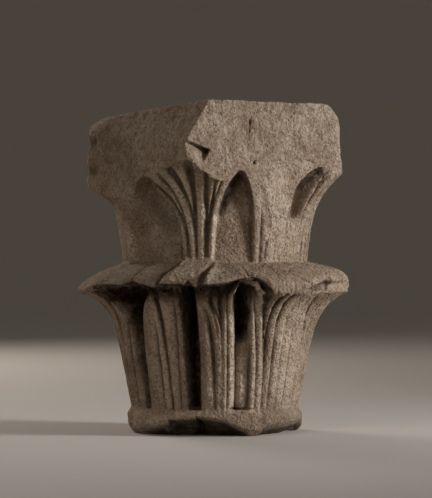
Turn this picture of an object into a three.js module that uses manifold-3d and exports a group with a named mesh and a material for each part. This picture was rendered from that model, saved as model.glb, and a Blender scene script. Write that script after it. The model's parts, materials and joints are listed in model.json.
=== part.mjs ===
// A weathered limestone capital, carved from one block: a necking ring, a bell with two tiers of
// fan-ribbed leaves, and the stump of a square abacus whose corners and faces have broken away.
// Millimetres, +Z up. The origin is on the column's axis, on the lower bed. The abacus stands square
// to X and Y. Bearings are degrees about +Z from the -Y face, growing towards +X.
import * as THREE from "three";
import { mergeVertices } from "three/addons/utils/BufferGeometryUtils.js";
import ManifoldModule from "manifold-3d";

const { clamp, degToRad, lerp, smoothstep } = THREE.MathUtils;

// Driving heights.
const HEIGHT = 352;
const RING_HEIGHT = 28;
const LIP_LOW = 151;
const LIP_HIGH = 159;
const SEAT = 186;
const FLARE_TOP = 290;

// Driving radii. The upper leaves would reach CORNER_RADIUS under the abacus corners.
const BED_RADIUS = 87;
const RING_RADIUS = 94.5;
const NECK_RADIUS = 91;
const LIP_RADIUS = 145;
const WAIST_RADIUS = 100;
const CORNER_RADIUS = 156;

// Each tier is a solid of its own that runs on inside the other, at this radius.
const HIDDEN_RADIUS = 85;

// Each tier has fans of ribs, spaced by the mason's eye, and a plain arched hollow after each fan.
// A hollow has half a width in degrees, the height at which its arch springs, the height of its
// crown, and the radius of its back at the foot and at the crown.
const LOWER_TIER = {
  fans: [-67, -33, -3, 43, 82, 121, 160, 200, 239],
  hollows: [-51, -18, 21, 62, 101, 140, 180, 220, 271],
  hollow: { halfWidth: 4.5, spring: 120, crown: 148, foot: 84, back: 76 },
};
const UPPER_TIER = {
  fans: [-41, -1, 41, 88, 133, 180, 225, 262],
  hollows: [-24, 16, 65, 111, 157, 203, 243, 286],
  hollow: { halfWidth: 12, spring: 236, crown: 278, foot: 94, back: 90 },
};
const LEAST_HALF_WIDTH = 0.8;
const DEEP_HOLLOW = { bearing: -51, reach: 8, extra: 14 };

// One half of a fan, from the cleft on its middle line out to its edge: places as shares of the
// half fan, and the depth there as a share of the groove depth.
const HALF_FAN = [
  { at: 0, depth: 1 },
  { at: 0.17, depth: 0 },
  { at: 0.35, depth: 0.8 },
  { at: 0.52, depth: 0 },
  { at: 0.68, depth: 0.8 },
  { at: 0.86, depth: 0 },
  { at: 1, depth: 0.5 },
];
const GROOVE_FOOT = 2.5;
const GROOVE_TOP = 5;
const CLEFT_TOP = 9;
const WALL_SHARE = 0.25;

// Folds between the leaf tips on top of the lower lip.
const LIP_FOLDS = [-60, -41, -22, 19, 62, 105, 150, 195, 238, 275];
const FOLD_DEPTH = 6;
const FOLD_HALF_WIDTH = 4;

// Rows of the lathe grid, as shares of each stretch of the profile.
const BELL_ROWS = [0, 0.15, 0.3, 0.45, 0.58, 0.7, 0.8, 0.88, 0.95, 1];
const WAIST_ROWS = [0, 0.14, 0.3, 0.44, 0.57, 0.69, 0.8, 0.9, 1];
const COLUMNS_PER_HALF = HALF_FAN.length + 1;

// The abacus faces that are left, as bearings and distances from the axis, and the breaks: flat
// scars of a width and height, each with a bearing, the lean of its face above the horizon, and the
// height z and distance from the axis of its middle.
const ABACUS_FACES = [
  { bearing: 0, distance: 104 },
  { bearing: 90, distance: 108 },
  { bearing: 180, distance: 110 },
  { bearing: -90, distance: 115 },
];
const BREAKS = [
  { bearing: 49, lean: 0, distance: 136, z: 276, width: 220, height: 176 },
  { bearing: -131, lean: 2, distance: 137, z: 276, width: 220, height: 176 },
  { bearing: 140, lean: 12, distance: 134, z: 310, width: 220, height: 200 },
  { bearing: -88, lean: 34, distance: 114, z: 309, width: 420, height: 300 },
  { bearing: -112, lean: 76, distance: 134, z: 329, width: 420, height: 300 },
  { bearing: -45, lean: -24, distance: 142, z: 294, width: 70, height: 52 },
  { bearing: -17, lean: -14, distance: 131, z: 156, width: 26, height: 40 },
  { bearing: 28, lean: -8, distance: 137, z: 158, width: 90, height: 40 },
  { bearing: 110, lean: -10, distance: 137, z: 155, width: 90, height: 40 },
  { bearing: 165, lean: 6, distance: 133, z: 155, width: 100, height: 40 },
  { bearing: -32, lean: -48, distance: 87, z: 4, width: 44, height: 36 },
  { bearing: -64, lean: -40, distance: 89, z: 4, width: 40, height: 36 },
  { bearing: 44, lean: -35, distance: 91, z: 5, width: 50, height: 36 },
  { bearing: 152, lean: -42, distance: 88, z: 4, width: 56, height: 36 },
];
const BREAK_DEPTH = 120;
const FACE_WIDTH = 400;

// A wedge knocked out of the lower bed.
const NOTCH = { bearing: -48, width: 15, height: 16, depth: 34 };

const STONE = { color: 0xa8957f, roughness: 0.95, metalness: 0 };

const wasm = await ManifoldModule();
wasm.setup();

// Radius of the leaf faces in each tier: a straight flare with a curl at its top.
function lowerLeafRadius(z) {
  const share = clamp((z - RING_HEIGHT) / (LIP_LOW - RING_HEIGHT), 0, 1);
  return NECK_RADIUS + (LIP_RADIUS - NECK_RADIUS) * (0.43 * share + 0.57 * share ** 8);
}

function upperLeafRadius(z) {
  const share = clamp((z - SEAT) / (FLARE_TOP - SEAT), 0, 1);
  return WAIST_RADIUS + (CORNER_RADIUS - WAIST_RADIUS) * (0.2 * share + 0.8 * share ** 4);
}

// Half the angle that a hollow takes at height z: upright sides under a pointed arch.
function hollowHalfWidth(hollow, z) {
  const rise = clamp((z - hollow.spring) / (hollow.crown - hollow.spring), 0, 1);
  return Math.max(LEAST_HALF_WIDTH, hollow.halfWidth * Math.sqrt(1 - rise ** 1.5));
}

// Where a column of the grid stands in its tier: the fan it belongs to, the side of that fan, and
// its step outwards from the cleft.
function columnPlace(column) {
  const sector = Math.floor(column / (2 * COLUMNS_PER_HALF));
  const step = column % (2 * COLUMNS_PER_HALF);
  const leftOfNext = step > COLUMNS_PER_HALF;
  return {
    fan: leftOfNext ? sector + 1 : sector,
    sector,
    side: leftOfNext ? -1 : 1,
    step: leftOfNext ? 2 * COLUMNS_PER_HALF - step : step,
  };
}

function fanBearing(tier, index) {
  const turns = Math.floor(index / tier.fans.length);
  return tier.fans[index % tier.fans.length] + 360 * turns;
}

// The bearing of a column at height z. The ribs spread as the arch beside them closes.
function columnBearing(tier, column, z) {
  const { fan, sector, side, step } = columnPlace(column);
  const cleft = fanBearing(tier, fan);
  const middle = tier.hollows[sector];
  const halfWidth = hollowHalfWidth(tier.hollow, z);
  const halfFan = Math.abs(middle - cleft) - halfWidth;
  if (step < HALF_FAN.length) return cleft + side * HALF_FAN[step].at * halfFan;
  if (step === HALF_FAN.length) return cleft + side * (halfFan + WALL_SHARE * halfWidth);
  return middle;
}

// How far a bearing lies from another, in degrees.
function bearingGap(a, b) {
  return Math.abs(((a - b + 540) % 360) - 180);
}

// Radius of a carved column at height z: ribs and grooves on a fan, the bell's back in a hollow.
function carvedRadius(column, z, bearing, leafRadius, hollow, rise) {
  const { step } = columnPlace(column);
  if (step < HALF_FAN.length) {
    const cleft = step === 0 ? CLEFT_TOP * smoothstep(rise, 0.55, 1) : 0;
    return leafRadius - HALF_FAN[step].depth * lerp(GROOVE_FOOT, GROOVE_TOP, rise) - cleft;
  }
  if (z >= hollow.crown) return leafRadius;
  const depthen = smoothstep(z, hollow.spring - 40, hollow.crown);
  const back = lerp(hollow.foot, hollow.back, depthen);
  const deep = bearingGap(bearing, DEEP_HOLLOW.bearing) < DEEP_HOLLOW.reach && z < SEAT;
  return back - (deep ? DEEP_HOLLOW.extra : 0);
}

// How far the lip is cut back by the fold nearest to a bearing.
function foldDepth(bearing) {
  const nearest = Math.min(...LIP_FOLDS.map((fold) => bearingGap(bearing, fold)));
  return FOLD_DEPTH * Math.exp(-((nearest / FOLD_HALF_WIDTH) ** 2));
}

// The rows of a turned tier, from its foot up: each gives a height, the radius as turned, and a
// bearing and a carved radius for every column.
function plainRow(tier, z, radius) {
  return { z, radius, bearing: (column) => columnBearing(tier, column, z), carved: () => radius };
}

function leafRow(tier, z, radius, rise) {
  return {
    ...plainRow(tier, z, radius),
    carved: (column, bearing) => carvedRadius(column, z, bearing, radius, tier.hollow, rise),
  };
}

function foldedRow(tier, z, radius) {
  return { ...plainRow(tier, z, radius), carved: (column, bearing) => radius - foldDepth(bearing) };
}

// Necking ring, lower leaves and their lip, closed by a plain top inside the foot of the upper tier.
function lowerRows() {
  const tier = LOWER_TIER;
  const bell = BELL_ROWS.map((rise) => {
    const z = lerp(RING_HEIGHT, LIP_LOW, rise);
    return leafRow(tier, z, lowerLeafRadius(z), rise);
  });
  return [
    plainRow(tier, 0, 0),
    plainRow(tier, 0, BED_RADIUS),
    plainRow(tier, 8, RING_RADIUS - 1),
    plainRow(tier, 18, RING_RADIUS),
    plainRow(tier, RING_HEIGHT - 3, RING_RADIUS - 2),
    ...bell,
    foldedRow(tier, LIP_HIGH, LIP_RADIUS),
    foldedRow(tier, 170, 132),
    foldedRow(tier, 179, 114),
    plainRow(tier, SEAT, HIDDEN_RADIUS),
    plainRow(tier, SEAT, 0),
  ];
}

// Upper leaves under the plain block of the abacus, from a foot hidden inside the lip.
function upperRows() {
  const tier = UPPER_TIER;
  const waist = WAIST_ROWS.map((rise) => {
    const z = lerp(SEAT, FLARE_TOP, rise);
    return leafRow(tier, z, upperLeafRadius(z), rise);
  });
  return [
    plainRow(tier, LIP_HIGH, 0),
    plainRow(tier, LIP_HIGH, HIDDEN_RADIUS),
    ...waist,
    plainRow(tier, HEIGHT, CORNER_RADIUS),
    plainRow(tier, HEIGHT, 0),
  ];
}

// A tier as turned on its axis, then carved column by column.
function carvedTier(tier, rows) {
  const columns = 2 * COLUMNS_PER_HALF * tier.fans.length;
  const profile = rows.map((row) => new THREE.Vector2(row.radius, row.z));
  const turned = new THREE.LatheGeometry(profile, columns);
  const place = turned.getAttribute("position");
  for (let column = 0; column <= columns; column += 1) {
    rows.forEach((row, index) => {
      const bearing = row.bearing(column % columns);
      const radius = row.carved(column % columns, bearing);
      const angle = degToRad(bearing);
      const vertex = column * rows.length + index;
      place.setXYZ(vertex, radius * Math.sin(angle), -radius * Math.cos(angle), row.z);
    });
  }
  return turned;
}

// A closed three.js geometry as a solid for joining and cutting, without its collapsed triangles.
function solidOf(geometry) {
  const bare = geometry.clone();
  bare.deleteAttribute("normal");
  bare.deleteAttribute("uv");
  const merged = mergeVertices(bare, 1e-3);
  const corners = merged.index.array;
  const kept = [];
  for (let i = 0; i < corners.length; i += 3) {
    const [a, b, c] = corners.slice(i, i + 3);
    if (a !== b && b !== c && c !== a) kept.push(a, b, c);
  }
  const mesh = new wasm.Mesh({
    numProp: 3,
    vertProperties: merged.getAttribute("position").array,
    triVerts: new Uint32Array(kept),
  });
  return new wasm.Manifold(mesh);
}

// The waste outside a flat scar: a box whose inner face is the scar.
function scarWaste({ bearing, lean = 0, distance, z, width, height }) {
  const box = new THREE.BoxGeometry(width, BREAK_DEPTH, height);
  box.translate(0, -BREAK_DEPTH / 2, 0);
  box.rotateX(-degToRad(lean));
  box.translate(0, -distance, 0);
  box.rotateZ(degToRad(bearing));
  box.translate(0, 0, z);
  return solidOf(box);
}

// The waste outside an abacus face, which stops above the lip.
function faceWaste(face) {
  const height = HEIGHT - SEAT;
  return scarWaste({ ...face, z: SEAT + 2 + height / 2, width: FACE_WIDTH, height });
}

function notchWaste() {
  const half = NOTCH.width / 2;
  const outline = new THREE.Shape([
    new THREE.Vector2(-half, -1),
    new THREE.Vector2(half, -1),
    new THREE.Vector2(0.1 * half, NOTCH.height),
  ]);
  const wedge = new THREE.ExtrudeGeometry(outline, { depth: NOTCH.depth, bevelEnabled: false });
  wedge.rotateX(Math.PI / 2);
  wedge.translate(0, -(RING_RADIUS + 5 - NOTCH.depth), 0);
  wedge.rotateZ(degToRad(NOTCH.bearing));
  return solidOf(wedge);
}

function geometryOf(solid) {
  const mesh = solid.getMesh();
  const geometry = new THREE.BufferGeometry();
  geometry.setAttribute("position", new THREE.BufferAttribute(mesh.vertProperties, 3));
  geometry.setIndex(new THREE.BufferAttribute(mesh.triVerts, 1));
  geometry.computeVertexNormals();
  return geometry;
}

function capitalGeometry() {
  const cuts = [...ABACUS_FACES.map(faceWaste), ...BREAKS.map(scarWaste), notchWaste()];
  const lower = solidOf(carvedTier(LOWER_TIER, lowerRows()));
  const upper = solidOf(carvedTier(UPPER_TIER, upperRows()));
  const solid = cuts.reduce((stone, cut) => stone.subtract(cut), lower.add(upper));
  return geometryOf(solid);
}

const capital = new THREE.Mesh(capitalGeometry(), new THREE.MeshStandardMaterial(STONE));
capital.name = "capital";

const part = new THREE.Group();
part.add(capital);

export default part;
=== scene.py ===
import json
import math

import bpy
import numpy as np
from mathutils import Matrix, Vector

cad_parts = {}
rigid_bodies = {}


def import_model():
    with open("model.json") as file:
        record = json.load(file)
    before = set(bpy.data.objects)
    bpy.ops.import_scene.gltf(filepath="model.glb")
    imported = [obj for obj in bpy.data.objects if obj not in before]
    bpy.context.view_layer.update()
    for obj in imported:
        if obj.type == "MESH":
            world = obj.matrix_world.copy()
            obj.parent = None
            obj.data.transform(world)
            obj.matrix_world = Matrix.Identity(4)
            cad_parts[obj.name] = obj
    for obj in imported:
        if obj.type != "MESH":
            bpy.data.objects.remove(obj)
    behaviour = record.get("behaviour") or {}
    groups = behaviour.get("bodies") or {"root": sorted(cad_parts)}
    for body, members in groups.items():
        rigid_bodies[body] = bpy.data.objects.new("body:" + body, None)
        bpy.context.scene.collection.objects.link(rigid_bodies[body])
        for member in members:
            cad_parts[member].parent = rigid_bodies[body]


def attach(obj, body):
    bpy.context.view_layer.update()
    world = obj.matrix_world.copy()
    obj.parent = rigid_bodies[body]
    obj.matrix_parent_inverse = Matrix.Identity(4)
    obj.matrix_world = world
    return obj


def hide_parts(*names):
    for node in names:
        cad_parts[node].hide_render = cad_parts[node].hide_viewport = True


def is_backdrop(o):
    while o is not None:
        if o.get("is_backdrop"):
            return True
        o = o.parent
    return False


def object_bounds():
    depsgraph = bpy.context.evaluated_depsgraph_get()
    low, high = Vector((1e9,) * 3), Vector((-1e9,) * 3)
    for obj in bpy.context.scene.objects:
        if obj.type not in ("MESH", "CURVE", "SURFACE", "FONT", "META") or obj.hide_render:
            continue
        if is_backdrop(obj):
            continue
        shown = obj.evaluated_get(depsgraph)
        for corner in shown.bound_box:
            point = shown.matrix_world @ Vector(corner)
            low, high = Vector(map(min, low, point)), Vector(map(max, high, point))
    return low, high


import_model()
cad_low, cad_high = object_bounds()
bpy.ops.object.select_all(action="DESELECT")


# The turned block. The capital is one block of warm grey limestone, first turned round the column's
# axis to a necking ring, a bell that flares to a lip, a waist and a second flare under the abacus.
# Sizes are millimetres, and bearings are degrees from the -Y face, growing towards +X.
HEIGHT = 1000 * cad_high.z
RING_TOP = 28
BELL_TOP = 152
SEAT = 184
FLARE_TOP = 290
BED_RADIUS = 87
BED_ROUNDING = 10
RING_RADIUS = 94.5
RING_SHOULDER = 9
RING_FALL = 3.5
NECK_RADIUS = 91
BELL_SLOPE = 0.43
BELL_CURL = 0.57
UNDERCUT_CURL = 0.12
CURL_POWER = 8
LIP_RADIUS = 145
WAIST_RADIUS = 100
FLARE_SLOPE = 0.2
FLARE_POWER = 4
CORNER_RADIUS = 156
VIEW_BEARING = -37

# A window of bearings is where something begins, is full, starts to fade and ends.
UNDERCUT = (-110, -96, -14, -9)


def smooth(start, end, value):
    share = np.clip((value - start) / (end - start), 0, 1)
    return share * share * (3 - 2 * share)


def within(bearing, window):
    begins, full, fades, ends = window
    return smooth(begins, full, bearing) * smooth(ends, fades, bearing)


def mix(start, end, share):
    return start + (end - start) * share


def turned_from(bearing, middle):
    return (bearing - middle + 180) % 360 - 180


def along_line(bearing, line):
    bearings, values = zip(*line)
    return np.interp(bearing, bearings, values, period=360)


def ring_radius(height):
    foot = np.clip(1 - height / BED_ROUNDING, 0, 1)
    neck = smooth(RING_TOP - RING_SHOULDER, RING_TOP, height)
    return RING_RADIUS - (RING_RADIUS - BED_RADIUS) * foot ** 2 - RING_FALL * neck


def lower_face(bearing, height):
    share = np.clip((height - RING_TOP) / (BELL_TOP - RING_TOP), 0, 1)
    curl = mix(BELL_CURL, UNDERCUT_CURL, within(bearing, UNDERCUT))
    return NECK_RADIUS + (LIP_RADIUS - NECK_RADIUS) * (BELL_SLOPE * share + curl * share ** CURL_POWER)


def upper_face(height):
    share = np.clip((height - SEAT) / (FLARE_TOP - SEAT), 0, 1)
    flare = FLARE_SLOPE * share + (1 - FLARE_SLOPE) * share ** FLARE_POWER
    return WAIST_RADIUS + (CORNER_RADIUS - WAIST_RADIUS) * flare


# Ribs and hollows. Each leaf is a fan of round ribs cut with a gouge, and between two leaves the mason
# sank a plain hollow under a pointed arch. A rib is its bearing at the foot and the top of its tier,
# half its width at both, below zero where it tapers out on its way down, and how late it bends.
ROLL_DEPTH = 2.6
ROLL_POWER = 2.4
FLANK_SLOPE = 2.6
THINNEST = 0.1
ARCH_POWER = 1.5
# How fast a hollow's walls take their painted shade.
HOLLOW_SHADE_GAIN = 3
FAN_SHARES = (0.17, 0.5, 0.83)
FAN_RIB_HALF = 0.15
FAN_LEAN = 0.08
FAN_TAPER = 0.95
FAN_BEND = 2.3


def rib_depth(bearing, rise, radius, ribs, deepest):
    depth = deepest.copy()
    millimetres = np.radians(radius)
    for foot, top, half_foot, half_top, bend in ribs:
        middle = foot + (top - foot) * rise ** bend
        half = mix(half_foot, half_top, rise)
        away = np.abs(turned_from(bearing, middle))
        flank = FLANK_SLOPE * np.maximum(away - half, 0) * millimetres
        roll = ROLL_DEPTH * np.minimum(away / np.maximum(half, THINNEST), 1) ** ROLL_POWER
        depth = np.minimum(depth, roll + flank)
    return depth


def plain_fans(clefts, edges, spread):
    ribs = []
    for index, cleft in enumerate(clefts):
        for edge in edges[2 * index : 2 * index + 2]:
            reach = edge - cleft
            half = abs(reach) * FAN_RIB_HALF
            for share in FAN_SHARES:
                top = cleft + (reach + math.copysign(spread, reach)) * (share + FAN_LEAN)
                ribs.append((cleft + reach * share, top, half, half * FAN_TAPER, FAN_BEND))
    return ribs


def hollow_share(bearing, height, radius, hollow):
    climb = np.clip((height - hollow["foot_z"]) / (hollow["crown"] - hollow["foot_z"]), 0, 1)
    arch = np.clip((height - hollow["spring"]) / (hollow["crown"] - hollow["spring"]), 0, 1)
    half = mix(*hollow["half"], climb ** hollow.get("widens", 1)) * np.sqrt(1 - arch ** ARCH_POWER)
    aside = turned_from(bearing, mix(*hollow["middle"], climb ** 2))
    millimetres = np.radians(radius)
    left = smooth(0, hollow["wall"][0], (aside + half) * millimetres)
    right = smooth(0, hollow["wall"][1], (half - aside) * millimetres)
    open_here = (height > hollow["foot_z"]) & (height < hollow["crown"])
    return np.where(open_here, left * right, 0)


def sink_hollows(radius, bearing, height, face, hollows):
    soil = np.zeros_like(radius)
    sunk = np.zeros_like(radius)
    for hollow in hollows:
        share = hollow_share(bearing, height, face, hollow)
        deep = smooth(*hollow["deepens"], height)
        radius = np.minimum(radius, mix(radius, mix(*hollow["back"], deep), share))
        # Each hollow is painted dark from its walls inwards, mostly as shade with some soil, more where it
        # is deep.
        soil = np.maximum(soil, np.minimum(HOLLOW_SHADE_GAIN * share, 1) * mix(*hollow["soil"], deep))
        sunk = np.maximum(sunk, share)
    return radius, soil, sunk


def along_marks(bearing, height, radius, marks):
    value = np.zeros_like(bearing)
    millimetres = np.radians(radius)
    for (start, start_z), (end, end_z), half, most in marks:
        across = turned_from(bearing, start) * millimetres
        run = (end - start) * millimetres
        up = height - start_z
        rise = end_z - start_z
        along = np.clip((across * run + up * rise) / (run * run + rise * rise), 0, 1)
        away = np.hypot(across - along * run, up - along * rise)
        value = np.maximum(value, most * np.clip(1 - (away / half) ** 2, 0, 1))
    return value


# The lower leaves. Four show on the front, and the hidden ones are plainer. The hollow left of the
# middle is cut far in, the one at the far left is broken out wide under the lip, and the third has a
# thin raised rim, given as lines from one bearing and height to another, with half width and rise.
LOWER_RIB_TOP = 142
LOWER_CUT = (4.5, 16)
LOWER_RIBS = [
    (-79.5, -76.5, 7.2, 4.5, 2.0),
    (-69.6, -72.5, 2.8, 1.5, 3.0),
    (-62.9, -64.0, 2.7, 4.2, 2.0),
    (-57.2, -57.6, 2.4, 1.2, 2.0),
    (-41.5, -44.6, 4.8, 2.4, 2.0),
    (-35.1, -42.1, 1.4, 1.6, 4.0),
    (-33.3, -37.0, 0.3, 1.4, 3.0),
    (-31.1, -32.1, 1.8, 1.2, 2.0),
    (-26.1, -28.8, 2.5, 2.0, 2.0),
    (-12.2, -17.7, 2.3, 1.6, 2.0),
    (-7.5, -13.9, 2.2, 1.9, 2.0),
    (-6.0, -8.6, -3.5, 1.5, 2.0),
    (-2.5, -3.7, 1.9, 1.9, 2.0),
    (3.8, 2.5, 2.6, 2.6, 2.0),
    (10.5, 8.5, 3.4, 3.2, 2.0),
    (20.0, 17.0, 5.2, 5.0, 2.0),
]
# DARK and the other darkness pairs of the hollows are painted shade with some soil, low in a hollow and
# high up.
DARK = (0.7, 1)
LOWER_HOLLOWS = [
    dict(middle=(-88.8, -91.5), half=(3, 25), spring=150, crown=160, back=(84, 78), soil=DARK, widens=4.5),
    dict(middle=(-50.3, -52.3), half=(3.7, 4.5), spring=144, crown=162, back=(68, 66), soil=(1, 1)),
    dict(middle=(-19.1, -22.8), half=(4.4, 4.6), spring=150, crown=164, back=(97, 70), soil=(0, 1)),
]
ARCH_RIMS = [
    ((-29.2, 136), (-29, 150), 2.6, 8),
    ((-29, 150), (-26, 160), 2.2, 14),
    ((-26, 160), (-22, 166), 2.2, 18),
    ((-22, 166), (-17.6, 160.5), 2.4, 18),
    ((-17.6, 160.5), (-14.4, 151), 2.0, 16),
    ((-14.4, 151), (-13, 141), 1.7, 8),
]
HIDDEN_LOWER_HOLLOWS = [62, 101, 140, 180, 220]
HIDDEN_LOWER_CLEFTS = [42, 82, 121, 160, 200, 240]
HIDDEN_LOWER_ENDS = (26, 270)
HIDDEN_LOWER_HALF = 4
HIDDEN_LOWER_SPREAD = 3
RIGHT_WEAR = 0.45
RIGHT_WEAR_STARTS = (-11, -5)
RIGHT_WEAR_ENDS = (60, 26)
BROAD_BAND = (13, 19, 26, 40)
BROAD_BAND_WEAR = 0.2
RUN_OUT_BEARINGS = (0, 6)
RUN_OUT_HEIGHTS = (153, 142)
NARROW_FLANK = (-31.5, -24, -22, -20)
NARROW_FLANK_DEPTH = 4

for middle in HIDDEN_LOWER_HOLLOWS:
    half = (HIDDEN_LOWER_HALF, HIDDEN_LOWER_HALF)
    plain = dict(middle=(middle, middle), half=half, spring=126, crown=150, back=(84, 76), soil=DARK)
    LOWER_HOLLOWS.append(plain)
for hollow in LOWER_HOLLOWS:
    hollow.update(foot_z=RING_TOP + 2, wall=(2.5, 2.5), deepens=(94, 116))
edges = [HIDDEN_LOWER_ENDS[0]]
for middle in HIDDEN_LOWER_HOLLOWS:
    edges += [middle - HIDDEN_LOWER_HALF, middle + HIDDEN_LOWER_HALF]
edges.append(HIDDEN_LOWER_ENDS[1])
LOWER_RIBS += plain_fans(HIDDEN_LOWER_CLEFTS, edges, HIDDEN_LOWER_SPREAD)


def lower_leaves(bearing, height):
    face = lower_face(bearing, height)
    rise = np.clip((height - RING_TOP) / (LOWER_RIB_TOP - RING_TOP), 0, 1)
    cut = rib_depth(bearing, rise, face, LOWER_RIBS, mix(*LOWER_CUT, rise ** 2))
    worn = RIGHT_WEAR * smooth(*RIGHT_WEAR_STARTS, bearing) + BROAD_BAND_WEAR * within(bearing, BROAD_BAND)
    cut = cut * (1 - worn * smooth(*RIGHT_WEAR_ENDS, bearing))
    cut = cut * mix(1, smooth(*RUN_OUT_HEIGHTS, height), smooth(*RUN_OUT_BEARINGS, bearing))
    rims = along_marks(bearing, height, face, ARCH_RIMS)
    return face - cut - NARROW_FLANK_DEPTH * within(bearing, NARROW_FLANK) + rims, cut, rims


# The lip. The tips of the lower leaves curl out and run together in a heavy lip, worn thin on the
# left and left blunt on the right. Its top falls in tongues, each a step above the one before, and
# its lower edge is ragged. Both are given at bearings, the edge as heights and the tongues as steps.
LIP_EDGE = [
    (-127, 149), (-98, 150), (-84, 157), (-76, 163), (-70, 159), (-61.5, 155.5), (-59, 160),
    (-50, 158.5), (-48.3, 163), (-45, 156.5), (-42, 159), (-33, 160), (-26, 165.5), (-19, 166.5),
    (-15, 160), (-12, 150), (-8, 147.5), (2, 152), (12, 156), (24, 152), (62, 151), (101, 154),
    (140, 150), (180, 154), (220, 151),
]
TONGUES = [
    (-140, 4), (-100, 1), (-77, 3), (-60.5, 11), (-42, 9),
    (-22, 2), (19, 3), (62, 5), (105, 4), (150, 5),
]
TONGUE_TURN = 6
TONGUE_FALL = 1.5
SWELL = (0.12, 0.94)
SWELL_POWER = 0.7
HIGH_TONGUE = (-60, -55, -41, -35)
HIGH_TONGUE_RISE = 5
BLUNTNESS = 2.6
BLUNTNESS_SWING = 0.5
LEFT_TIP = (-165, -145, -115, -95)
LEFT_TIP_REACH = 2
LIP_SINK = 4
EDGE_ROUNDING = 5
EDGE_HEIGHT = 7
SHARP_END = (10, 26, 70, 90)
SHARPNESS = 0.8


def lip(bearing, height):
    edge = along_line(bearing, LIP_EDGE)
    seat = SEAT + HIGH_TONGUE_RISE * within(bearing, HIGH_TONGUE)
    climb = np.clip((height - BELL_TOP) / (seat - BELL_TOP), 0, 1)
    bluntness = BLUNTNESS * np.exp(BLUNTNESS_SWING * np.sin(np.radians(bearing - VIEW_BEARING)))
    reach = LIP_RADIUS + LEFT_TIP_REACH * within(bearing, LEFT_TIP)
    radius = mix(reach, WAIST_RADIUS - LIP_SINK, climb ** bluntness)
    rounding = EDGE_ROUNDING * (1 - SHARPNESS * within(bearing, SHARP_END))
    radius = radius - rounding * np.clip(1 - (height - edge) / EDGE_HEIGHT, 0, 1) ** 2
    starts, steps = (np.array(values) for values in zip(*TONGUES))
    around = (bearing - TONGUE_TURN * climb ** 2 - starts[0]) % 360 + starts[0]
    index = np.searchsorted(starts, around, side="right") - 1
    ends = np.append(starts[1:], starts[0] + 360)
    along = (around - starts[index]) / (ends - starts)[index]
    swell = np.sin(np.pi * mix(*SWELL, climb) ** SWELL_POWER)
    return np.where(height > edge, radius + steps[index] * (1 - along) ** TONGUE_FALL * swell, 0)


# The upper leaves. A leaf stands under each corner and each face of the abacus. The one at the near
# corner keeps its ribs, and the rest are worn. Between them are wide arched hollows, and a few raised
# places are lines like those of the lower rims.
UPPER_RIB_TOP = 268
UPPER_RISE_LIMIT = 1.2
UPPER_CUT = (5, 15)
UPPER_RIBS = [
    (-55.2, -73.5, 1.7, 1.6, 3.0),
    (-53.2, -66.0, -3.0, 2.4, 3.0),
    (-50.2, -59.0, 1.8, 2.5, 2.4),
    (-47.9, -51.6, -3.0, 2.0, 2.0),
    (-45.2, -44.4, 2.4, 2.3, 2.0),
    (-42.0, -38.4, -3.0, 1.8, 2.0),
    (-40.0, -35.2, -3.5, 1.1, 2.0),
    (-39.0, -31.2, 2.3, 2.0, 2.3),
    (-11.7, -12.5, 2.3, 3.0, 2.3),
    (-3.5, -4.0, 4.6, 4.6, 2.3),
    (5.0, 6.0, 3.8, 4.6, 2.3),
    (15.5, 24.0, 6.4, 6.0, 2.0),
    (25.0, 36.0, 2.8, 2.4, 2.0),
    (31.5, 40.5, 2.9, 2.4, 2.0),
    (38.5, 45.0, 2.9, 2.4, 2.0),
    (46.0, 50.0, 2.9, 2.4, 2.0),
    (53.0, 56.0, 2.9, 2.8, 2.0),
]
RAISED = [
    ((-101, 226), (-97, 184), 10, 4),
    ((-38.6, 184), (-38, 228), 3.8, 3),
    ((29, 277), (30.5, 273), 4.5, 9),
]
HOLLOW_FOOT = 172
NICHE_FOOT = 226
UPPER_HOLLOWS = [
    dict(middle=(-77, -78.5), half=(20, 18.8), spring=212, crown=275, back=(95, 95), wall=(20, 3)),
    dict(middle=(-25.7, -22.5), half=(10.7, 10.7), spring=232, crown=279, back=(92, 90), wall=(3, 9)),
    dict(middle=(16.4, 33), half=(5.2, 7), spring=266, crown=285, back=(103, 91), wall=(3, 8)),
]
HIDDEN_UPPER_HOLLOWS = [69, 108, 147, 186, 225]
HIDDEN_UPPER_CLEFTS = [88, 127, 166, 205, 255]
HIDDEN_UPPER_END = 272
HIDDEN_UPPER_HALF = 11
HIDDEN_UPPER_SPREAD = 8
OUTER_RIB = (-58, -77)
LEFT_WEAR_STARTS = (-140, -125)
LEFT_WEAR_KEEPS = 0.2
RIGHT_WORN_LEAF = (-9, -3, 20, 30)
RIGHT_WORN_KEEPS = 0.35
RIBS_END = (292, 280)
FLANK_START = -42
FLANK_FULL = (-35.5, -28)
FLANK_LIMIT = -18
FLANK_DEPTH = 5
FLANK_HEIGHTS = (276, 262)
FAR_CORNER = (-152, -140, -90, -70)
FAR_CORNER_HEIGHTS = (244, 264)
FAR_CORNER_REACH = 14

for middle in HIDDEN_UPPER_HOLLOWS:
    half = (HIDDEN_UPPER_HALF, HIDDEN_UPPER_HALF)
    wide = dict(middle=(middle, middle), half=half, spring=232, crown=278, back=(93, 91), wall=(4, 4))
    UPPER_HOLLOWS.append(wide)
# The upper hollows are painted only faintly dark, as shade and soil.
for hollow in UPPER_HOLLOWS:
    hollow.update(foot_z=HOLLOW_FOOT, deepens=(226, 240), soil=(0.1, 0.15))
UPPER_HOLLOWS[2]["foot_z"] = NICHE_FOOT
edges = []
for middle in HIDDEN_UPPER_HOLLOWS:
    edges += [middle - HIDDEN_UPPER_HALF, middle + HIDDEN_UPPER_HALF]
edges = edges[1:] + [HIDDEN_UPPER_END]
UPPER_RIBS += plain_fans(HIDDEN_UPPER_CLEFTS, edges, HIDDEN_UPPER_SPREAD)


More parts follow.
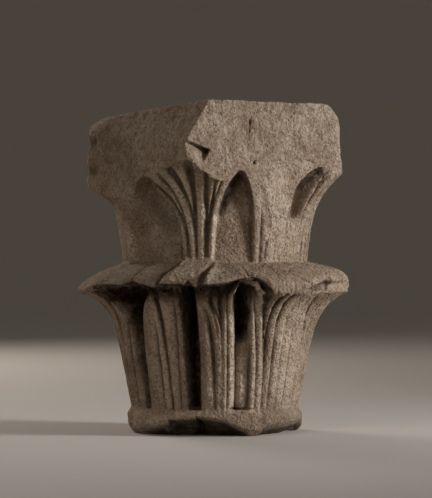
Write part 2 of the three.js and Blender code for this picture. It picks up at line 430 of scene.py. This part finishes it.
def upper_leaves(bearing, height):
    face = upper_face(height)
    rise = np.clip((height - SEAT) / (UPPER_RIB_TOP - SEAT), 0, UPPER_RISE_LIMIT)
    full_rise = np.minimum(rise, 1)
    cut = rib_depth(bearing, rise, face, UPPER_RIBS, mix(*UPPER_CUT, full_rise ** 2))
    outer_rib = mix(*OUTER_RIB, rise ** 3)
    worn_left = smooth(outer_rib + 2, outer_rib - 1, bearing) * smooth(*LEFT_WEAR_STARTS, bearing)
    cut = cut * mix(1, LEFT_WEAR_KEEPS, worn_left)
    cut = cut * mix(1, RIGHT_WORN_KEEPS, within(bearing, RIGHT_WORN_LEAF)) * smooth(*RIBS_END, height)
    flank = smooth(FLANK_START, mix(*FLANK_FULL, full_rise ** 3), bearing) * (bearing < FLANK_LIMIT)
    flank = flank * smooth(*FLANK_HEIGHTS, height)
    far_corner = within(bearing, FAR_CORNER) * smooth(*FAR_CORNER_HEIGHTS, height)
    return face - cut - FLANK_DEPTH * flank + FAR_CORNER_REACH * far_corner, cut


# The abacus and its breaks. The top block has lost its mouldings and corners, and what is left has
# rough split faces. Each is a plane with a bearing, a lean above the horizon and a distance from the
# axis at a height. One is a scar at the near corner, left of an edge of heights and bearings.
SCAR_EDGE = [(279, -43.2), (291, -41.3), (300, -39.2), (307.5, -47)]
SCAR_FOOT = 262
SCAR_LEFT = -60
SPLITS = [
    dict(bearing=0, lean=0, distance=104, z=300),
    dict(bearing=90, lean=0, distance=108, z=300),
    dict(bearing=180, lean=0, distance=110, z=300),
    dict(bearing=-90, lean=0, distance=115, z=300),
    dict(bearing=49, lean=3, distance=136, z=300),
    dict(bearing=-131, lean=2, distance=137, z=300),
    dict(bearing=140, lean=12, distance=134, z=310),
    dict(bearing=-88, lean=34, distance=119, z=309),
    dict(bearing=-112, lean=64, distance=134, z=328),
    dict(bearing=-112, lean=81, distance=134, z=337),
    dict(bearing=49, lean=45, distance=134, z=341, rounding=12),
    dict(bearing=20, lean=25, distance=59, z=300, scar=SCAR_EDGE),
]
SPLIT_FOOT = SEAT + 6
ARRIS_ROUNDING = 4
NO_LIMIT = 1000
LEAST_TOWARDS = 0.02
BLOCK_RADIUS = 200
UNDERSIDE = [
    (-71, 290), (-70, 274), (-63, 278), (-53, 286), (-49, 291), (-46, 287), (-43.2, 279),
    (-40.5, 275.6), (-39.2, 270.5), (-33.2, 267), (-29.6, 270), (-26.5, 274), (-25.5, 290),
]


def rounded_lesser(first, second, rounding):
    share = np.clip(0.5 + 0.5 * (second - first) / rounding, 0, 1)
    return mix(second, first, share) - rounding * share * (1 - share)


def split_limit(bearing, height, split):
    towards = np.cos(np.radians(bearing - split["bearing"]))
    flat = split["distance"] - (height - split["z"]) * math.tan(math.radians(split["lean"]))
    limit = np.maximum(flat, 1) / np.maximum(towards, LEAST_TOWARDS)
    here = (towards > LEAST_TOWARDS) & (height > SPLIT_FOOT)
    if "scar" in split:
        heights, bearings = zip(*split["scar"])
        here = here & (height > SCAR_FOOT) & (height < heights[-1])
        here = here & (bearing > SCAR_LEFT) & (bearing < np.interp(height, heights, bearings))
    return np.where(here, limit, NO_LIMIT)


# Chips along the lower bed and the lip: each runs between two bearings, with the height of its upper
# edge at both, how steeply it cuts in below that edge and how deep it can get. Those on the lip fade
# out towards a foot. A wedge is missing from the ring at the front as well.
CHIPS = [
    dict(bearings=(-48, -30), heights=(22, 17), slope=2.8, deepest=26),
    dict(bearings=(-30, -14), heights=(17, 4), slope=2.8, deepest=26),
    dict(bearings=(-96, -70), heights=(6, 20), slope=0.9, deepest=20),
    dict(bearings=(-70, -50), heights=(20, 21), slope=2.2, deepest=24),
    dict(bearings=(-4, 9), heights=(9, 14), slope=1, deepest=20),
    dict(bearings=(9, 56), heights=(14, 16), slope=1, deepest=20),
    dict(bearings=(138, 166), heights=(12, 6), slope=0.9, deepest=20),
    dict(bearings=(-150, -120), heights=(4, 10), slope=0.8, deepest=20),
    dict(bearings=(6, 15), heights=(154, 164), slope=1.5, deepest=5, foot=148),
    dict(bearings=(15, 64), heights=(164, 166), slope=1.5, deepest=6, foot=150),
]
CHIP_FADE = 10
BELOW_BED = -10
NOTCH = dict(bearing=-49.3, half=10, height=23, depth=36)


def chip_depth(bearing, height):
    depth = np.zeros_like(bearing)
    for chip in CHIPS:
        start, end = chip["bearings"]
        share = (bearing - start) / (end - start)
        below = np.maximum(mix(*chip["heights"], share) - height, 0)
        foot = chip.get("foot", BELOW_BED)
        cut = np.minimum(chip["slope"] * below, chip["deepest"]) * smooth(foot, foot + CHIP_FADE, height)
        depth = np.maximum(depth, np.where((share > 0) & (share < 1), cut, 0))
    half = NOTCH["half"] * np.clip(1 - height / NOTCH["height"], 0, 1)
    aside = np.abs(turned_from(bearing, NOTCH["bearing"])) * math.radians(RING_RADIUS)
    return np.where(aside < half, NOTCH["depth"], depth)


# Gouges, cracks and pits, each a line from one bearing and height to another, with half its width
# and its depth. Stains and painted shade, crumbled places, and crests rubbed pale or painted with a
# highlight are lines of the same kind, with a strength in place of the depth.
GOUGES = [
    ((-62.3, 156), (-60.8, 170), 4.5, 7),
    ((-60.8, 170), (-57, 181), 4, 6),
    ((-43.6, 158), (-42, 171), 3.5, 5),
    ((-42, 171), (-38.5, 182), 3, 4),
    ((-77.6, 163), (-77.4, 182), 1.2, 2.5),
    ((-22.6, 178), (-22.2, 168), 1.2, 3),
    ((-17.3, 332), (-17.6, 319), 1.3, 4),
    ((-14.6, 288), (-14.4, 287), 1.8, 4),
    ((22.8, 292), (26.9, 290), 1.2, 2.5),
    ((18, 163), (20, 161), 3, 4),
    ((-80, 224.5), (-75, 225.5), 1, 1.8),
    ((-27, 29.5), (-11, 29), 1.4, 4),
    ((-5, 205), (-5.5, 188), 1.8, 2.2),
    ((-9, 262), (-3.5, 222), 4, 1.2),
    ((50, 240), (56, 236), 3, 2.5),
    ((8, 154), (17, 161), 5, 2.5),
    ((41, 148), (34, 138), 2, 3),
    ((34, 138), (31, 110), 2, 2.5),
    ((16, 146), (20, 130), 2, 3),
    ((20, 130), (25, 112), 2, 2),
    ((-5, 149), (-6.5, 136), 2.6, 7),
    ((0, 149), (-1.5, 140), 1.8, 5),
    ((-39.6, 147), (-33.6, 117), 1.4, 4),
    ((-41.5, 132), (-41.3, 130), 1.8, 3),
    ((15.4, 110.5), (15.5, 110), 1.5, 2.5),
    ((21, 128), (21.2, 127), 1.4, 2.5),
    ((-8, 178), (-9, 169), 1.1, 2),
    ((1, 169), (8, 159), 1.1, 2),
    ((47, 304), (53, 300), 8, 4.5),
    ((-134, 314), (-120, 312), 8, 2.5),
    ((-134, 281), (-120, 280), 7, 2.5),
]
# Stains, some of them painted shade: the dark top of the upper hollow, the abacus's left face darker away
# from the light, and the niche's top.
STAINS_AND_SHADE = [
    ((-22.5, 272), (-29, 256), 8, 1),
    ((-29, 256), (-33, 237), 7, 1),
    ((-80, 247), (-64, 226), 16, 0.5),
    ((-112, 318), (-94, 290), 24, 0.3),
    ((-100, 163), (-82, 172), 14, 0.15),
    ((-36, 163), (-28, 172), 9, 0.4),
    ((30, 281), (24, 264), 6, 0.7),
]
CRUMBLED = [
    ((10, 156), (34, 158), 13, 1),
    ((-120, 150), (-100, 152), 8, 0.8),
    ((-86, 158), (-72, 162), 7, 1),
    ((-96, 12), (-52, 12), 11, 1),
    ((-56, 164), (-50, 164), 8, 0.9),
    ((40, 302), (60, 286), 14, 1),
]
# Partly crests rubbed pale, partly painted highlights: the arch rims, the near corner's ribs and the third
# lower hollow's floor are painted pale where light falls on them.
RUBBED_AND_HIGHLIGHTED = [
    ((-26, 160), (-22, 166), 3, 1),
    ((-22, 166), (-14.4, 151), 4, 1),
    ((-99, 222), (-94, 188), 7, 0.6),
    ((-39, 186), (-34, 262), 8, 1),
    ((-46, 186), (-52, 262), 20, 1),
    ((0, 190), (4, 262), 34, 0.35),
    ((-100, 15), (-60, 15), 14, 0.5),
    ((-62, 24), (-50, 25), 6, 0.6),
    ((-26.5, 30), (-28.8, 142), 6, 0.75),
    ((-68, 40), (-68, 130), 16, 0.45),
    ((-20, 40), (-20.5, 84), 8, 0.7),
    ((-9, 30), (-14, 142), 9, 0.55),
    ((10, 60), (8, 130), 26, 0.35),
]


# The carved stone put together: the ring, the lower leaves, the lip, the upper leaves and then what
# has broken off. Beside the radius it gives how rough a place is, and for its colour how far it is
# split stone, how much soil and painted shade lie on it and how far a crest is rubbed pale or painted
# with a highlight.
SPLIT_FADE = (1.5, -1.5)
CHIP_SPLIT = (0.5, 3)
# Painted shade under the lip, in the undercut bearings: the heights over which it darkens, and how far past
# the lip's edge it reaches.
UNDER_LIP_SHADE_HEIGHTS = (138, 151)
UNDER_LIP_SHADE_PAST_EDGE = 2
UPPER_GROOVE_SHADE = 0.65
LOWER_GROOVE_SHADE = 0.85
GROOVE_DEPTHS = (0.8, 3.8)
RIM_RISES = (1, 4)
GOUGE_SHADE_DEPTH = 3
# The ring's face is painted darker from the front towards the right as shade, and its chips are painted
# dark as shade with some dirt.
RING_SHADE = 0.25
RING_SHADE_BEARINGS = (-60, 10)
CHIP_SHADE_AND_DIRT = 0.9
CHIP_SHADE_DEPTHS = (2, 10)
CREST_DEPTHS = (2.6, 0.4)
SHADE_HEIGHTS = (80, 100)
RAGGED_RADII = (LIP_RADIUS - 9, LIP_RADIUS - 4)
RAGGED_REACH = (9, 3)
BROKEN_OUT_HEIGHTS = (116, 130)
ROUGH_RING = (RING_TOP + 2, RING_TOP - 3)


def carved_stone(bearing, height):
    on_ring = height < RING_TOP
    edge = along_line(bearing, LIP_EDGE)
    above = height > edge
    leaf, lower_cut, rims = lower_leaves(bearing, height)
    upper, upper_cut = upper_leaves(bearing, height)
    upper = np.where(height > along_line(bearing, UNDERSIDE), BLOCK_RADIUS, upper)
    upper, upper_soil, upper_sunk = sink_hollows(upper, bearing, height, upper_face(height), UPPER_HOLLOWS)
    lip_radius = lip(bearing, height)
    on_leaf = above & (upper > lip_radius)
    upper = upper + along_marks(bearing, height, upper, RAISED)
    radius = np.where(on_ring, ring_radius(height), leaf)
    radius = np.where(above, np.maximum(lip_radius, upper), radius)
    radius, lower_soil, lower_sunk = sink_hollows(radius, bearing, height, leaf, LOWER_HOLLOWS)
    cut = np.where(on_ring, 0, lower_cut)
    cut = np.where(above, np.where(on_leaf, upper_cut * (1 - upper_sunk), 0), cut) * (1 - lower_sunk)

    # What has split, chipped and been gouged.
    split = np.zeros_like(bearing)
    for plane in SPLITS:
        limit = split_limit(bearing, height, plane)
        split = np.maximum(split, smooth(*SPLIT_FADE, limit - radius))
        radius = rounded_lesser(radius, limit, plane.get("rounding", ARRIS_ROUNDING))
    chipped = chip_depth(bearing, height)
    split = np.maximum(split, smooth(*CHIP_SPLIT, chipped))
    gouged = along_marks(bearing, height, radius, GOUGES)

    # Painted shade under the lip, and soil with painted shade in hollows, grooves, gouges and chips.
    under_lip_shade = within(bearing, UNDERCUT) * smooth(*UNDER_LIP_SHADE_HEIGHTS, height)
    under_lip_shade = np.where(height < edge + UNDER_LIP_SHADE_PAST_EDGE, under_lip_shade, 0)
    # Grooves between the ribs are painted darker with their depth of cut, as shade.
    groove_shade = np.where(above, UPPER_GROOVE_SHADE, LOWER_GROOVE_SHADE) * smooth(*GROOVE_DEPTHS, cut)
    soil = np.maximum.reduce([under_lip_shade, np.where(on_leaf, upper_soil, 0), groove_shade, lower_soil])
    soil = soil * (1 - smooth(*RIM_RISES, rims * (1 - lower_sunk))) * (1 - split)
    # Gouges, cracks and pits are painted darker with their depth, as shade.
    gouge_shade = 1 - np.exp(-gouged / GOUGE_SHADE_DEPTH)
    # On the ring: painted shade on its face, and painted shade with dirt in its chips.
    on_face = RING_SHADE * smooth(*RING_SHADE_BEARINGS, bearing)
    ring_soil = np.where(on_ring, mix(on_face, CHIP_SHADE_AND_DIRT, smooth(*CHIP_SHADE_DEPTHS, chipped)), 0)
    soil = np.maximum.reduce([soil, along_marks(bearing, height, radius, STAINS_AND_SHADE), gouge_shade, ring_soil])

    # Crests rubbed pale and painted highlights, and places that are left rough.
    worn = along_marks(bearing, height, radius, RUBBED_AND_HIGHLIGHTED) * smooth(*CREST_DEPTHS, cut)
    worn = worn * (1 - lower_sunk * smooth(*SHADE_HEIGHTS, height))
    worn = worn * np.where(above, on_leaf * (1 - upper_sunk), 1)
    ragged = smooth(*RAGGED_RADII, radius) * smooth(*RAGGED_REACH, np.abs(height - edge))
    ragged = ragged * (height < SPLIT_FOOT)
    broken_out = hollow_share(bearing, height, leaf, LOWER_HOLLOWS[0]) * smooth(*BROKEN_OUT_HEIGHTS, height)
    crumbled = along_marks(bearing, height, radius, CRUMBLED)
    rough = np.maximum.reduce([split, ragged, broken_out, smooth(*ROUGH_RING, height), crumbled])
    return radius - chipped - gouged, rough, dict(split=split, soil=soil, worn=worn)


# The mesh. A grid rolled round the axis takes the carved shape, is remeshed to an even skin of small
# faces, roughened by weather and along the splits, and thinned, more on the hidden sides and beds.
COLUMNS = 1000
ROWS = 520
JUST_INSIDE = 0.01
WELD = 0.00001
SKIN = 0.0011
SHOWN_TURN = 78
BED_MARGIN = 1
FAINTEST = 0.02
SHOWN_TRIANGLES = 138000
HIDDEN_TRIANGLES = 56000

bpy.ops.mesh.primitive_grid_add(x_subdivisions=COLUMNS, y_subdivisions=ROWS, size=2)
stone = bpy.context.object
stone.name = "carved_capital"
stone.data.name = "carved_capital"


def places_of(mesh):
    flat = np.empty(3 * len(mesh.vertices), dtype=np.float32)
    mesh.vertices.foreach_get("co", flat)
    return flat.reshape(-1, 3).astype(float)


def bearing_and_height(places):
    bearing = np.degrees(np.arctan2(places[:, 0], -places[:, 1]))
    return bearing, 1000 * places[:, 2]


# The first and last rows of the grid close the beds at the axis.
grid = places_of(stone.data)
bearing = 180 * grid[:, 0]
row = np.rint((grid[:, 1] + 1) / 2 * ROWS)
height = HEIGHT * np.clip((row - 1) / (ROWS - 2), 0, 1)
radius = carved_stone(bearing, np.clip(height, JUST_INSIDE, HEIGHT - JUST_INSIDE))[0]
radius = np.where((row == 0) | (row == ROWS), 0, radius)
turn = np.radians(bearing)
rolled = np.column_stack([radius * np.sin(turn), -radius * np.cos(turn), height]) / 1000
stone.data.vertices.foreach_set("co", rolled.astype(np.float32).ravel())
stone.data.update()

bpy.ops.object.mode_set(mode="EDIT")
bpy.ops.mesh.select_all(action="SELECT")
bpy.ops.mesh.remove_doubles(threshold=WELD)
bpy.ops.mesh.normals_make_consistent(inside=False)
bpy.ops.object.mode_set(mode="OBJECT")


def finish_with(kind, **settings):
    modifier = stone.modifiers.new(kind.title(), kind)
    for name, value in settings.items():
        setattr(modifier, name, value)
    bpy.ops.object.modifier_apply(modifier=modifier.name)


finish_with("REMESH", mode="VOXEL", voxel_size=SKIN)

# Crumbs that the remesh leaves beside the stone are deleted.
stone.data.vertices.foreach_set("select", np.zeros(len(stone.data.vertices), dtype=bool))
stone.data.vertices[int(np.argmax(places_of(stone.data)[:, 2]))].select = True
bpy.ops.object.mode_set(mode="EDIT")
bpy.ops.mesh.select_linked()
bpy.ops.mesh.select_all(action="INVERT")
bpy.ops.mesh.delete(type="VERT")
bpy.ops.object.mode_set(mode="OBJECT")

bearing, height = bearing_and_height(places_of(stone.data))
rough = carved_stone(bearing, height)[1]
shown = np.abs(turned_from(bearing, VIEW_BEARING)) < SHOWN_TURN
shown = shown & (height > BED_MARGIN) & (height < HEIGHT - BED_MARGIN)
for name, weights in (("rough", rough), ("shown", shown.astype(float))):
    group = stone.vertex_groups.new(name=name)
    for index in np.flatnonzero(weights > FAINTEST):
        group.add([int(index)], float(weights[index]), "REPLACE")


def roughened(name, grain, depth, group):
    texture = bpy.data.textures.new(name, "CLOUDS")
    texture.noise_scale = grain / 1000
    texture.noise_depth = 2
    texture.noise_basis = "IMPROVED_PERLIN"
    finish_with("DISPLACE", texture=texture, strength=depth / 1000, mid_level=0.5, vertex_group=group)


roughened("weathering", grain=24, depth=2.4, group="")
roughened("fine_weathering", grain=6, depth=0.7, group="")
roughened("rough_lumps", grain=16, depth=3.0, group="rough")
roughened("rough_grain", grain=5, depth=1.5, group="rough")

everywhere = 2 * len(stone.data.polygons)
thinned = everywhere * shown.mean() + HIDDEN_TRIANGLES
finish_with("DECIMATE", ratio=thinned / everywhere, vertex_group="shown", invert_vertex_group=True)
finish_with("DECIMATE", ratio=(SHOWN_TRIANGLES + HIDDEN_TRIANGLES) / thinned, vertex_group="shown")
finish_with("TRIANGULATE")
bpy.ops.object.shade_smooth()
stone.vertex_groups.clear()

coats = carved_stone(*bearing_and_height(places_of(stone.data)))[2]
for name, values in coats.items():
    attribute = stone.data.attributes.new(name, "FLOAT", "POINT")
    attribute.data.foreach_set("value", values.astype(np.float32))


# Limestone, weathered and never painted: chalky and matt with a fine pitted grain, paler where it has
# split, paler again where it is rubbed or carries painted highlights, and brown with soil and painted
# shade. Grains and depths are millimetres, and the finest grains are drawn coarser than the real ones,
# so that they show.
LIGHT_STONE = "#b4a28f"
GREY_STONE = "#a08c78"
TONE_GRAIN = 70
TONE_LIMITS = (0.35, 0.65)
# A layer is a grain, the noise that it shows between, a strength, a colour and the coat it keeps to.
LAYERS = [
    (30, 0.30, 0.60, 0.6, "#b9a997", "split"),
    (26, 0.46, 0.68, 0.75, "#866f5a", None),
    (9, 0.44, 0.66, 0.35, "#806b58", None),
    (6, 0.50, 0.64, 0.55, "#7d6855", "split"),
    (3.4, 0.54, 0.68, 0.4, "#cdbfae", None),
    # This pale layer is rubbed wear and painted highlight.
    (14, 0.20, 0.50, 0.95, "#e3d0ba", "worn"),
    # This dark layer is soil and painted shade, darkest in hollows, grooves, gouges, chips and under the
    # lip.
    (9, 0.00, 0.50, 0.97, "#2c1f16", "soil"),
    (2.4, 0.46, 0.66, 0.6, "#6a5746", None),
    # Dark specks for the pits: partly a darker grain, partly painted shade in pits that the mesh does not
    # carry.
    (3.2, 0.62, 0.70, 0.5, "#4a3b2f", None),
]
BUMPS = [(14, 3.8), (5, 3), (2.4, 3)]
BUMP_STRENGTH = 0.85

# The colour sockets of a Mix node share their names with others, so they go by number.
MIX_UNDER = 6
MIX_OVER = 7
MIX_RESULT = 2


def linear(code):
    channels = [int(code[i : i + 2], 16) / 255 for i in (1, 3, 5)]
    return [c / 12.92 if c <= 0.04045 else ((c + 0.055) / 1.055) ** 2.4 for c in channels] + [1]


limestone = bpy.data.materials.new("weathered_limestone")
limestone.use_nodes = True
tree = limestone.node_tree
shader = tree.nodes["Principled BSDF"]
shader.inputs["Roughness"].default_value = 0.92
shader.inputs["IOR"].default_value = 1.45
shader.inputs["Specular IOR Level"].default_value = 0.2


def add_node(kind, settings, sockets):
    made = tree.nodes.new(kind)
    for name, value in settings.items():
        setattr(made, name, value)
    for name, value in sockets.items():
        if isinstance(value, bpy.types.NodeSocket):
            tree.links.new(value, made.inputs[name])
        else:
            made.inputs[name].default_value = value
    return made


on_stone = add_node("ShaderNodeTexCoord", {}, {}).outputs["Object"]
masks = {}
for name in coats:
    masks[name] = add_node("ShaderNodeAttribute", {"attribute_name": name}, {}).outputs["Fac"]

noise = add_node("ShaderNodeTexNoise", {}, {"Vector": on_stone, "Scale": 1000 / TONE_GRAIN, "Detail": 3})
limits = {"Value": noise.outputs["Fac"], "From Min": TONE_LIMITS[0], "From Max": TONE_LIMITS[1]}
tone = add_node("ShaderNodeMapRange", {}, limits).outputs["Result"]
base = {"Factor": tone, MIX_UNDER: linear(GREY_STONE), MIX_OVER: linear(LIGHT_STONE)}
colour = add_node("ShaderNodeMix", {"data_type": "RGBA"}, base).outputs[MIX_RESULT]
for grain, low, high, strength, code, coat in LAYERS:
    noise = add_node("ShaderNodeTexNoise", {}, {"Vector": on_stone, "Scale": 1000 / grain, "Detail": 4})
    limits = {"Value": noise.outputs["Fac"], "From Min": low, "From Max": high, "To Max": strength}
    share = add_node("ShaderNodeMapRange", {}, limits).outputs["Result"]
    if coat:
        share = add_node("ShaderNodeMath", {"operation": "MULTIPLY"}, {0: share, 1: masks[coat]}).outputs[0]
    layer = {"Factor": share, MIX_UNDER: colour, MIX_OVER: linear(code)}
    colour = add_node("ShaderNodeMix", {"data_type": "RGBA"}, layer).outputs[MIX_RESULT]
tree.links.new(colour, shader.inputs["Base Color"])

bumped = None
for grain, depth in BUMPS:
    noise = add_node("ShaderNodeTexNoise", {}, {"Vector": on_stone, "Scale": 1000 / grain, "Detail": 3})
    sockets = {"Height": noise.outputs["Fac"], "Distance": depth / 1000, "Strength": BUMP_STRENGTH}
    if bumped:
        sockets["Normal"] = bumped
    bumped = add_node("ShaderNodeBump", {}, sockets).outputs["Normal"]
tree.links.new(bumped, shader.inputs["Normal"])
stone.data.materials.clear()
stone.data.materials.append(limestone)

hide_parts("capital")
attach(stone, "root")


# The studio. A plain pale round floor that sweeps up at its rim, soft lights from the right, the left
# and behind, and a camera a little above the middle of the stone. Distances are metres here.
PALE = "#d0cbc4"
WHITE = "#ffffff"
WARM = "#fff4ea"
FLOOR_RADIUS = 5
FLOOR_SIDES = 96
SWEEP_RADIUS = 2
SWEEP_STEPS = 12
WALL = 2
AIR_STRENGTH = 0.12
view_turn = math.radians(VIEW_BEARING)
toward_camera = Vector((math.sin(view_turn), -math.cos(view_turn), 0))
across_view = Vector((-toward_camera.y, toward_camera.x, 0))

bpy.ops.mesh.primitive_circle_add(vertices=FLOOR_SIDES, radius=FLOOR_RADIUS, fill_type="NGON")
floor = bpy.context.object
floor.name = "studio_floor"
bpy.ops.object.mode_set(mode="EDIT")
bpy.ops.mesh.select_all(action="SELECT")
bpy.ops.mesh.region_to_loop()
reach = FLOOR_RADIUS
lifted = 0
for step in range(1, SWEEP_STEPS + 2):
    angle = min(step / SWEEP_STEPS, 1) * math.pi / 2
    wider = FLOOR_RADIUS + SWEEP_RADIUS * math.sin(angle)
    higher = SWEEP_RADIUS * (1 - math.cos(angle)) + WALL * (step > SWEEP_STEPS)
    bpy.ops.mesh.extrude_edges_move(TRANSFORM_OT_translate={"value": (0, 0, higher - lifted)})
    bpy.ops.transform.resize(value=(wider / reach, wider / reach, 1), center_override=(0, 0, 0))
    reach, lifted = wider, higher
bpy.ops.object.mode_set(mode="OBJECT")
bpy.ops.object.shade_smooth()
pale = bpy.data.materials.new("pale_studio_paper")
pale.use_nodes = True
paper = pale.node_tree.nodes["Principled BSDF"]
paper.inputs["Base Color"].default_value = linear(PALE)
paper.inputs["Roughness"].default_value = 0.9
floor.data.materials.append(pale)
floor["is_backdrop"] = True


def studio_light(name, bearing, rise, distance, size, spread, watts, colour):
    light = bpy.data.lights.new(name, "AREA")
    light.shape = "DISK"
    light.size = size
    light.spread = math.radians(spread)
    light.energy = watts
    light.color = linear(colour)[:3]
    lamp = bpy.data.objects.new(name, light)
    bpy.context.scene.collection.objects.link(lamp)
    turn = math.radians(VIEW_BEARING + bearing)
    up = math.radians(rise)
    out = Vector((math.sin(turn) * math.cos(up), -math.cos(turn) * math.cos(up), math.sin(up)))
    lamp.location = Vector((0, 0, cad_high.z / 2)) + distance * out
    lamp.rotation_euler = out.to_track_quat("Z", "Y").to_euler()


studio_light("key", bearing=76, rise=15, distance=2.0, size=0.5, spread=60, watts=3.7, colour=WHITE)
studio_light("fill", bearing=-25, rise=30, distance=2.2, size=0.6, spread=180, watts=4.6, colour=WARM)
studio_light("back", bearing=215, rise=22, distance=2.4, size=1.0, spread=180, watts=20, colour=WARM)

world = bpy.data.worlds.new("studio_air")
world.use_nodes = True
air = world.node_tree.nodes["Background"]
air.inputs["Color"].default_value = linear(WARM)
air.inputs["Strength"].default_value = AIR_STRENGTH
bpy.context.scene.world = world
bpy.context.scene.view_settings.view_transform = "Standard"

PICTURE = (432, 498)
SENSOR = 36
FOCAL_PIXELS = 2567
CAMERA_DISTANCE = 2.783
CAMERA_HEIGHT = 0.1973
CAMERA_ASIDE = 0.0011
camera = bpy.data.cameras.new("camera")
camera.lens = SENSOR * FOCAL_PIXELS / max(PICTURE)
camera.sensor_width = SENSOR
viewer = bpy.data.objects.new("camera", camera)
bpy.context.scene.collection.objects.link(viewer)
viewer.location = toward_camera * CAMERA_DISTANCE + across_view * CAMERA_ASIDE
viewer.location.z = CAMERA_HEIGHT
viewer.rotation_euler = toward_camera.to_track_quat("Z", "Y").to_euler()
bpy.context.scene.camera = viewer

low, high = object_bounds()
